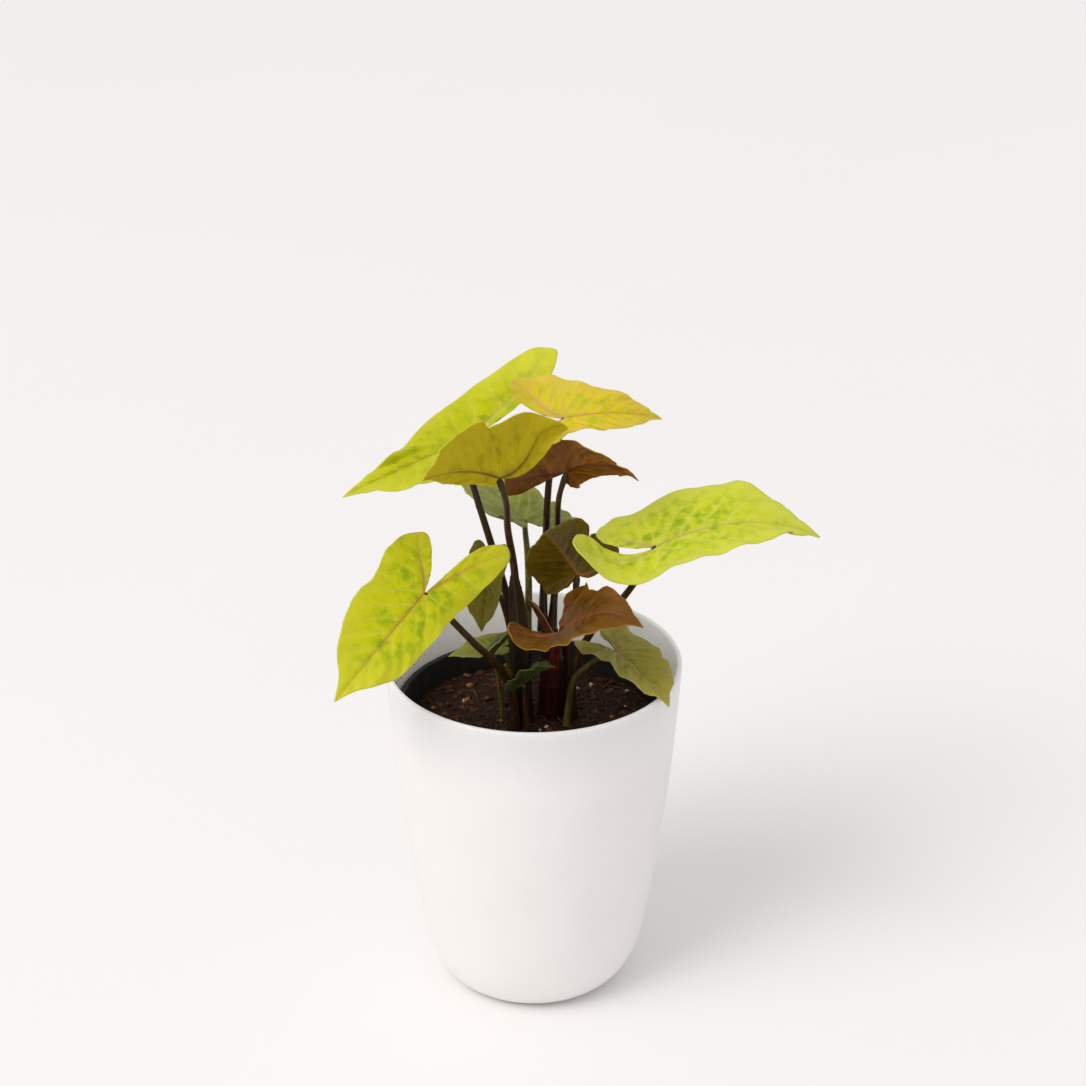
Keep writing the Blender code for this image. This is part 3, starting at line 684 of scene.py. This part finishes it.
# Height of the puffed tissue and depth of the groove over a rib in millimetres, the groove's width
# and the length of the margin's waves in leaf lengths, and how much a half's breadth wanders.
PUFF = 0.5
GROOVE = 0.3
GROOVE_WIDTH = 0.02
WAVE_LENGTH = 0.22
EDGE_WANDER = 0.08


def vein_map(w, v, in_lobe):
    """Distance from the nearer rib and number of side veins passed, on a flat half."""
    if in_lobe:
        beside = np.abs(LOBE_RIB_BACK * w + LOBE_RIB_ACROSS * v)
        ahead, spacing = LOBE_RIB_ACROSS * w - LOBE_RIB_BACK * v, LOBE_SPACING
    else:
        beside, ahead, spacing = w, v, VEIN_SPACING
    return beside, (ahead - VEIN_SLANT * beside - VEIN_CURVE * beside ** 2) / spacing


def puffing(w, v):
    """How far the tissue stands above the veins on a flat half, in millimetres."""
    lobe, main = vein_map(w, v, True), vein_map(w, v, False)
    beside, passed = np.where(v < LOBE_START * w, lobe, main)
    pillow = np.abs(np.sin(math.pi * passed)) ** 0.7
    inside = ease(beside / 0.07) * (1 - ease((w - 0.24) / 0.16))
    return PUFF * pillow * inside - GROOVE * np.exp(-(beside / GROOVE_WIDTH) ** 2)


def ripple(arc, seed):
    """Uneven waves along a margin, between about -1 and 1."""
    spots = [Vector((place / WAVE_LENGTH, seed, 0.0)) for place in arc]
    return np.array([noise.noise(spot) + 0.35 * noise.noise(spot * 2.3) for spot in spots])


def half_points(leaf, side, w, v, s, arc):
    """Places on one half of a blade: w across and v along, in leaf lengths. s runs from the
    junction (0) to the margin (1) and arc along the margin, for its waves."""
    half = dict(HALF, **leaf[side])
    sign = 1.0 if side == "right" else -1.0
    along = np.where(v < 0, v * half["lobe"], v)
    wander = EDGE_WANDER * ripple(arc, leaf["base"][1] + 40 * sign)
    across = w * along_half(half["spread"], v) * (1 + wander)
    turn = np.radians(half["turn"]) * ease((TURN_SLANT * w - v) / TURN_OVER)
    across, along = (across * np.cos(turn) - along * np.sin(turn),
                     along * np.cos(turn) + across * np.sin(turn))
    t = np.linspace(*RIB_SPAN, RIB_PLACES)
    ahead, right, upper = rib_frames(leaf, t, half["lift"])
    step = (ahead[1:] + ahead[:-1]) / 2 * (t[1] - t[0])
    rib = np.vstack([np.zeros(3), np.cumsum(step, axis=0)])

    def at(values, where):
        return np.stack([np.interp(where, t, values[:, k]) for k in range(3)], -1)

    fold = np.radians(along_half(half["fold"], v))
    cup = math.radians(half["cup"]) / HALF_WIDTH
    if abs(cup) < 1e-6:
        out, rise = across * np.cos(fold), across * np.sin(fold)
    else:
        out = (np.sin(fold + cup * across) - np.sin(fold)) / cup
        rise = (np.cos(fold) - np.cos(fold + cup * across)) / cup
    waves = half["wave"] * ripple(arc, leaf["base"][0] + 40 * sign) * s ** 3 * ease(w / 0.2)
    relief = (waves + puffing(w, v)) * min(1.0, leaf["length"] / RELIEF_LENGTH)
    rise = rise + relief / leaf["length"]
    place = at(rib, along) - at(rib, np.zeros(1))
    place = place + sign * out[..., None] * at(right, along) + rise[..., None] * at(upper, along)
    return np.array(leaf["base"]) + leaf["length"] * place


def blade(name):
    """A blade's sheet: a grid bent round the junction, its far edge on the outline of both halves.
    The vein map goes into a UV map face by face, so that it stays sharp where the lobe starts."""
    leaf = LEAVES[name]
    steps, rings = LARGE_BLADE_MESH if leaf["length"] > LARGE_BLADE else SMALL_BLADE_MESH
    outline = smooth_route(HALF_OUTLINE, steps)
    count = len(outline) - 1
    arc = np.r_[0, np.cumsum(np.linalg.norm(np.diff(outline, axis=0), axis=1))]
    bm = bmesh.new()
    veins = bm.loops.layers.uv.new("veins")
    reach = bm.verts.layers.float.new("reach")
    sheet = bmesh.ops.create_grid(bm, x_segments=2 * count, y_segments=rings, size=1.0)["verts"]
    column = np.array([round(corner.co.x * count) for corner in sheet])
    s = np.array([(corner.co.y + 1) / 2 for corner in sheet])
    spot = count - np.abs(column)
    w, v = outline[spot, 0] * s, outline[spot, 1] * s
    right = half_points(leaf, "right", w, v, s, arc[spot])
    left = half_points(leaf, "left", w, v, s, arc[spot])
    place = np.where((column > 0)[:, None], right, left)
    place[column == 0] = (right[column == 0] + left[column == 0]) / 2
    for i, corner in enumerate(sheet):
        corner.co = Vector(place[i])
        corner[reach] = s[i]
        corner.index = i
    maps = [np.stack(vein_map(w, v, in_lobe), -1) for in_lobe in (False, True)]
    for face in bm.faces:
        corners = [corner.index for corner in face.verts]
        here = maps[int(v[corners].mean() < LOBE_START * w[corners].mean())]
        shift = SIDE_SHIFT if column[corners].mean() > 0 else -SIDE_SHIFT
        for loop in face.loops:
            beside, passed = here[loop.vert.index]
            loop[veins].uv = (beside, passed + shift - VEIN_STRAY / 2)
    bmesh.ops.remove_doubles(bm, verts=sheet, dist=0.001)
    return bm


LIT_THROUGH = 0.26
THROUGH_GREEN = "b9c41e"
THROUGH_BROWN = "8a5a14"
HALO = 0.28
VEIN_SUNK = 1.6


# Leaf skin: a thin waxy cuticle over soft green tissue. It has a satin gloss, paler tissue along
# the veins and towards the margin, darker cloudy patches between them, and lets some light through.
def leaf_skin(name, ground, patch, vein, rib, rim, through, rough=0.42, relief=1.0):
    mat, shader = new_material(name)
    veins = add_node(mat, "UVMap", uv_map="veins").outputs["UV"]
    veins = add_node(mat, "SeparateXYZ", [("Vector", veins)])
    beside = veins.outputs["X"]
    reach = add_node(mat, "Attribute", attribute_name="reach").outputs["Fac"]
    place = add_node(mat, "TexCoord").outputs["Object"]
    cloud = add_node(mat, "TexNoise", [("Vector", place), ("Scale", 1 / (9 * MM)), ("Detail", 3.0)])
    cloud = cloud.outputs["Fac"]
    mottle = add_node(mat, "TexNoise", [("Vector", place), ("Scale", 1 / (4 * MM)), ("Detail", 3.0),
                                        ("Roughness", 0.5)]).outputs["Fac"]
    stray = [(0, cloud), (1, VEIN_STRAY), (2, veins.outputs["Y"])]
    passed = add_node(mat, "Math", stray, operation="MULTIPLY_ADD").outputs[0]
    to_vein = add_node(mat, "Math", [(0, passed), (1, 0.5)], operation="PINGPONG").outputs[0]
    cells = add_node(mat, "TexVoronoi", [("Vector", place), ("Scale", 1 / (0.7 * MM))])

    # A share is how strongly one layer covers those under it. As its value goes from start to end,
    # it runs smoothly from first to second.
    share = {}
    for key, value, start, end, first, second in (
            ("fade", reach, 0.5, 1.0, 1.0, 0.25), ("clouds", cloud, 0.34, 0.6, 0.0, 1.0),
            ("patches", mottle, 0.36, 0.68, 0.0, 1.0),
            ("pale margin", reach, 0.6, 1.0, 0.0, 0.35),
            ("glow", to_vein, 0.0, 0.34, HALO, 0.0), ("rib glow", beside, 0.0, 0.05, 1.2 * HALO, 0.0),
            ("side vein", to_vein, 0.015, 0.06, 0.5, 0.0), ("rib", beside, 0.004, 0.012, 0.75, 0.0),
            ("rim", reach, 0.982, 0.996, 0.0, 0.9), ("rib fade", reach, 0.05, 0.85, 1.0, 0.3),
            ("gloss", mottle, 0.3, 0.7, rough - 0.07, rough + 0.08)):
        limits = [("From Min", start), ("From Max", end), ("To Min", first), ("To Max", second)]
        share[key] = add_node(mat, "MapRange", [("Value", value)] + limits,
                              interpolation_type="SMOOTHSTEP").outputs["Result"]
    for key, other in (("patches", "clouds"), ("patches", "fade"), ("glow", "fade"),
                       ("side vein", "fade"), ("rib", "rib fade"), ("rib glow", "rib fade")):
        shares = [(0, share[key]), (1, share[other])]
        share[key] = add_node(mat, "Math", shares, operation="MULTIPLY").outputs[0]
    colour = linear(ground)
    for key, hue in (("patches", patch), ("pale margin", vein), ("glow", vein), ("rib glow", rib),
                     ("side vein", vein), ("rib", rib), ("rim", rim)):
        colour = add_node(mat, "Mix", [("Factor", share[key]), (6, colour), (7, linear(hue))],
                          data_type="RGBA").outputs[2]

    sunk = add_node(mat, "Math", [(0, share["side vein"]), (1, share["rib"])], operation="MAXIMUM")
    lumps = [(0, mottle), (1, 0.7), (2, cells.outputs["Distance"])]
    tissue = add_node(mat, "Math", lumps, operation="MULTIPLY_ADD")
    heights = [(0, sunk.outputs[0]), (1, -VEIN_SUNK * relief), (2, tissue.outputs[0])]
    height = add_node(mat, "Math", heights, operation="MULTIPLY_ADD")
    bump = add_node(mat, "Bump", [("Height", height.outputs[0]), ("Strength", 0.4),
                                  ("Distance", 0.3 * MM)])
    links = mat.node_tree.links
    links.new(colour, shader.inputs["Base Color"])
    links.new(share["gloss"], shader.inputs["Roughness"])
    links.new(bump.outputs["Normal"], shader.inputs["Normal"])
    shader.inputs["IOR"].default_value = 1.43
    shader.inputs["Specular IOR Level"].default_value = 0.28
    hues = [("Factor", 0.5), (6, colour), (7, linear(through))]
    hue_through = add_node(mat, "Mix", hues, data_type="RGBA").outputs[2]
    glow = add_node(mat, "BsdfTranslucent", [("Color", hue_through), ("Normal", bump.outputs["Normal"])])
    skin = [(0, LIT_THROUGH), (1, shader.outputs["BSDF"]), (2, glow.outputs["BSDF"])]
    both = add_node(mat, "MixShader", skin)
    links.new(both.outputs["Shader"], mat.node_tree.nodes["Material Output"].inputs["Surface"])
    return mat


# Of each blade: its slot, then the hues of its upper side and of its under side. The hues are those
# of the ground, the cloudy patches, the side veins, the ribs and the rim.
LEAF_FINISH = {
    "left_leaf": ("leaf_lime", ("dada04", "96b800", "eae24a", "c88a44", "dcdc4a"),
                  ("a9b020", "8c9618", "bcbe50", "9a7a30", "c6c848")),
    "top_left_leaf": ("leaf_lime", ("dadc04", "a8bc00", "ecea50", "e2dc7a", "e2e050"),
                      ("b3ae14", "9a960f", "c6bc48", "a9863a", "d0ca40")),
    "right_leaf": ("leaf_mottled", ("e2e82c", "a0c000", "f0f070", "d8c070", "e2e45c"),
                   ("a0a62a", "86901c", "b6bc58", "94773a", "c4c850")),
    "top_front_leaf": ("leaf_olive_gold", ("d2ce00", "a8a800", "e0d840", "b88a38", "dcd83a"),
                       ("c8b400", "ac9a00", "ccb400", "6a3312", "d4ca30")),
    "top_right_leaf": ("leaf_yellow", ("ecd622", "c2cc00", "f2c870", "e8b07c", "ece24e"),
                       ("c8b63a", "b0a02a", "d0be5c", "a87a4c", "d4c84a")),
    "centre_top_leaf": ("leaf_brown_gold", ("8a6a14", "6c4a0c", "a5842c", "8a3a20", "a08426"),
                        ("784800", "522c00", "8c5c00", "4d1a10", "ae8c22")),
    "bronze_leaf": ("leaf_bronze", ("6a5c10", "54450a", "8a7424", "a86a38", "8a7a2c"),
                    ("6a5606", "4e3f04", "8a7016", "b07438", "968030")),
    "front_leaf": ("leaf_copper", ("704804", "4c2a02", "96661a", "b8564a", "a8842c"),
                   ("885806", "603a04", "a8742a", "b06044", "c0a044")),
    "low_right_leaf": ("leaf_pale_olive", ("b0a538", "8a8024", "c4b868", "b4a070", "c0b868"),
                       ("9c942e", "7e7620", "b2a860", "948258", "b0aa56")),
    "back_leaf": ("leaf_grey_green", ("9aa044", "76802a", "b8ba78", "a89e6c", "acb460"),
                  ("8a903a", "6e7428", "acac6a", "a0925c", "a8ac58")),
    "hanging_leaf": ("leaf_dark_olive", ("74680c", "5a5008", "90862c", "80602a", "807628"),
                     ("665c0c", "524808", "847a2a", "785828", "786e26")),
    "low_left_leaf": ("leaf_young_green", ("888a24", "5e6214", "a8a854", "a29a5c", "b0ae60"),
                      ("747820", "5a5e14", "94944a", "8e8448", "a0a050")),
    "folded_leaf": ("leaf_young_green", ("5e6a20", "465014", "8e9450", "90905c", "b8b884"),
                    ("5a641e", "444c14", "868a4a", "88864e", "b0b07a")),
    "stem_leaf": ("leaf_dark_green", ("3c4a16", "2a350e", "5c6630", "5a5c30", "5a6030"),
                  ("3a4416", "2a320e", "565c2c", "54542c", "545a2c")),
    "sheath": ("sheath_brown", ("3a2614", "281808", "4e3820", "5a4426", "8a7448"),
               ("38240f", "281808", "4e3820", "5a4426", "8a7448")),
    "bract": ("bract_red", ("6e3a22", "4e2412", "8a5a34", "8e4a34", "b0804c"),
              ("6a3820", "4c2412", "86562f", "8a4a30", "ac7c48")),
}
BROWN_LEAVES = ("sheath_brown", "bract_red", "leaf_copper", "leaf_brown_gold", "leaf_bronze")
for leaf_name, (leaf_slot, upper_hues, under_hues) in LEAF_FINISH.items():
    through = THROUGH_BROWN if leaf_slot in BROWN_LEAVES else THROUGH_GREEN
    upper_side = leaf_skin(leaf_name + "_cuticle", *upper_hues, through)
    under_side = leaf_skin(leaf_name + "_underside", *under_hues, through, rough=0.5, relief=-1.0)
    skins = [upper_side, under_side]
    piece = finish_piece(leaf_name + "_blade", blade(leaf_name), skins, leaf_name)
    body = piece.modifiers.new("thickness", "SOLIDIFY")
    body.thickness = BLADE_THICKNESS * MM
    body.offset = 0.0
    body.material_offset = 1
    body.material_offset_rim = 0

# ---------------------------------------------------------------------------------------------
# Stalks
# Each leaf stands on its own round stalk, broader at the foot, where it sheathes the stem, and
# swollen just below the blade, where it bends to face the light.
# ---------------------------------------------------------------------------------------------
# Of each stalk: its leaf, the radii at its foot and tip, and its route up to the leaf's base. None
# is the soil's height.
STALKS = {
    "left_stalk": ("left_leaf", 2.0, 1.2,
                   [(-8, -12.5, None), (-9, -14, 147), (-15, -18, 163), (-25, -28, 180),
                    (-36, -37, 198)]),
    "right_stalk": ("right_leaf", 2.0, 1.2,
                    [(17, -1, None), (17.5, 0, 150), (25, 0, 170), (38, -7, 190), (46, -13, 206)]),
    "top_left_stalk": ("top_left_leaf", 1.8, 1.2,
                       [(-7.6, -2.7, 174.6), (-13, -4, 197), (-19, -2, 218), (-25, 2, 238),
                        (-28, 1, 252)]),
    "top_front_stalk": ("top_front_leaf", 1.8, 1.2,
                        [(-5.4, -8.7, 174.6), (-8, -12.2, 207), (-10.5, -21, 230), (-11, -32, 248)]),
    "back_stalk": ("back_leaf", 1.7, 1.1,
                   [(-3, -4.2, 174.6), (-2, 4, 187), (-2.5, 18, 198), (-3.5, 27, 205)]),
    "top_right_stalk": ("top_right_leaf", 1.8, 1.2,
                        [(4, 3, 172.6), (4.5, 8, 189), (5.5, 10, 213), (7, 10, 240), (11, 8, 258.5)]),
    "centre_top_stalk": ("centre_top_leaf", 1.7, 1.1,
                         [(8, 4, 172.6), (9.5, 8, 190), (10.5, 6, 212), (10.8, -3, 235)]),
    "bronze_stalk": ("bronze_leaf", 1.8, 1.2,
                     [(13.5, 8, None), (14, 7.5, 150), (14.8, 4, 168), (17.5, -2.5, 186)]),
    "front_stalk": ("front_leaf", 2.0, 1.6, [(8.5, -4.9, 158), (10, -12, 169), (12, -22.5, 180.5)]),
    "low_right_stalk": ("low_right_leaf", 1.3, 0.9,
                        [(14, -7, None), (17, -6, 148), (23, -7, 157), (30, -11, 164)]),
    "stem_leaf_stalk": ("stem_leaf", 1.1, 0.8, [(-2, -18, None), (-3.5, -20, 147)]),
    "low_left_stalk": ("low_left_leaf", 1.1, 0.8, [(-9, 4, None), (-11, 7, 150)]),
    "folded_stalk": ("folded_leaf", 1.1, 0.8, [(-13, -4, None), (-15.5, -3.5, 150)]),
    "hanging_stalk": ("hanging_leaf", 1.2, 0.8,
                      [(-9.1, -6.3, 174.6), (-13.5, -8.5, 190), (-17, -9, 200)]),
}
STALK_SINK = 3.0
STALK_END = (0.85, 0.45)

# How much a stalk swells at its foot and neck, over what share of its length and, for the neck, where.
FOOT_SWELL, FOOT_SHARE = 0.35, 0.10
NECK_SWELL, NECK_SHARE, NECK_AT = 0.22, 0.05, 0.93

STALK_HUES = {
    "stalk_dark": ("2a1804", "3e2808", "6a5018"),
    "stalk_olive": ("4a401a", "6a6026", "8c8444"),
    "stalk_red": ("3a120c", "6a2216", "9a4a30"),
}
OLIVE_STALKS = ("back_stalk", "low_left_stalk", "folded_stalk", "low_right_stalk")
stalk_skins = {key: stem_skin(key + "_skin", *hues, 0.4) for key, hues in STALK_HUES.items()}
for stalk_name, (leaf_name, foot_radius, tip_radius, route) in STALKS.items():
    leaf = LEAVES[leaf_name]
    points = rooted(route, STALK_SINK)
    if route[0][2] is not None:
        points[0][2] -= STALK_SINK
    points.append(list(leaf["base"]))
    path = smooth_route(points, 14)
    share = np.linspace(0, 1, len(path))
    swell = FOOT_SWELL * np.exp(-(share / FOOT_SHARE) ** 2)
    swell = swell + NECK_SWELL * np.exp(-((share - NECK_AT) / NECK_SHARE) ** 2)
    girth = (foot_radius + (tip_radius - foot_radius) * share) * (1 + swell)
    girth[-len(STALK_END):] *= STALK_END
    tube = bmesh.new()
    add_strand(tube, path, girth, 20)
    close_ends(tube)
    kind = "stalk_olive" if stalk_name in OLIVE_STALKS else "stalk_dark"
    if stalk_name == "front_stalk":
        kind = "stalk_red"
    finish_piece(stalk_name + "_skin", tube, [stalk_skins[kind]], stalk_name)

# ---------------------------------------------------------------------------------------------
# Room
# A plain pale floor, soft daylight from a window at the upper left with a round lamp beside it for
# the sheen on the leaves, and an even pale surround. Lengths in this section are in metres.
# ---------------------------------------------------------------------------------------------
FLOOR_SIZE = 8.0
FLOOR_Z = -0.0002
bpy.ops.mesh.primitive_plane_add(size=FLOOR_SIZE, location=(0, 0, FLOOR_Z))
floor = bpy.context.object
floor.name = "floor"
floor_mat, floor_shader = new_material("matt_painted_floor_pale")
floor_place = add_node(floor_mat, "TexCoord").outputs["Object"]
floor_tone = add_node(floor_mat, "TexNoise", [("Vector", floor_place), ("Scale", 3.0), ("Detail", 2.0)])
floor_hue = add_node(floor_mat, "ValToRGB", [("Fac", floor_tone.outputs["Fac"])])
floor_hue.color_ramp.elements[0].color = linear("f1f0f0")
floor_hue.color_ramp.elements[1].color = linear("f4f3f3")
floor_mat.node_tree.links.new(floor_hue.outputs["Color"], floor_shader.inputs["Base Color"])
floor_shader.inputs["Roughness"].default_value = 0.7
floor.data.materials.append(floor_mat)

# The surround lights the plant at one level and shows at a paler one.
SKY_LIGHT = 0.78
SKY_SHOWN = 0.93
world = bpy.data.worlds.new("pale_surround")
world.use_nodes = True
bpy.context.scene.world = world
sky = world.node_tree.nodes["Background"]
sky.inputs["Color"].default_value = linear("f6f5f5")
seen = add_node(world, "LightPath").outputs
shown = seen["Is Camera Ray"]
for other_ray in ("Is Glossy Ray", "Is Transmission Ray"):
    shown = add_node(world, "Math", [(0, shown), (1, seen[other_ray])], operation="MAXIMUM").outputs[0]
level = add_node(world, "MapRange", [("Value", shown), ("To Min", SKY_LIGHT), ("To Max", SKY_SHOWN)])
world.node_tree.links.new(level.outputs["Result"], sky.inputs["Strength"])


LAMPS_AIM = Vector((0, 0, 0.15))


def aimed_lamp(name, lamp, place, hue):
    """A lamp at a place, turned to the pot's rim."""
    lamp.color = linear(hue)[:3]
    holder = bpy.data.objects.new(name, lamp)
    holder.location = place
    holder.rotation_euler = (LAMPS_AIM - Vector(place)).to_track_quat("-Z", "Y").to_euler()
    bpy.context.scene.collection.objects.link(holder)


window = bpy.data.lights.new("window", "SUN")
window.energy = 1.0
window.angle = math.radians(35)
aimed_lamp("window", window, (-0.9, -0.7, 1.6), "fffaf5")
sheen = bpy.data.lights.new("sheen", "AREA")
sheen.shape = "DISK"
sheen.size = 0.7
sheen.energy = 5.0
aimed_lamp("sheen", sheen, (-1.0, -1.0, 1.4), "fffdf8")

# The camera looks down on the plant from its showing side.
LENS_MM = 93.0
CAMERA_AIM = Vector((0.0042, 0.0, 0.2135))
CAMERA_DISTANCE = 1.2
CAMERA_DOWN = math.radians(26.4)
back_off = Vector((0.0, -math.cos(CAMERA_DOWN), math.sin(CAMERA_DOWN)))
lens = bpy.data.cameras.new("camera")
lens.lens = LENS_MM
lens.sensor_width = 36.0
lens.clip_start = 0.02
camera = bpy.data.objects.new("camera", lens)
camera.location = CAMERA_AIM + CAMERA_DISTANCE * back_off
camera.rotation_euler = (math.pi / 2 - CAMERA_DOWN, 0.0, 0.0)
bpy.context.scene.collection.objects.link(camera)
bpy.context.scene.camera = camera
bpy.context.scene.view_settings.view_transform = "Standard"
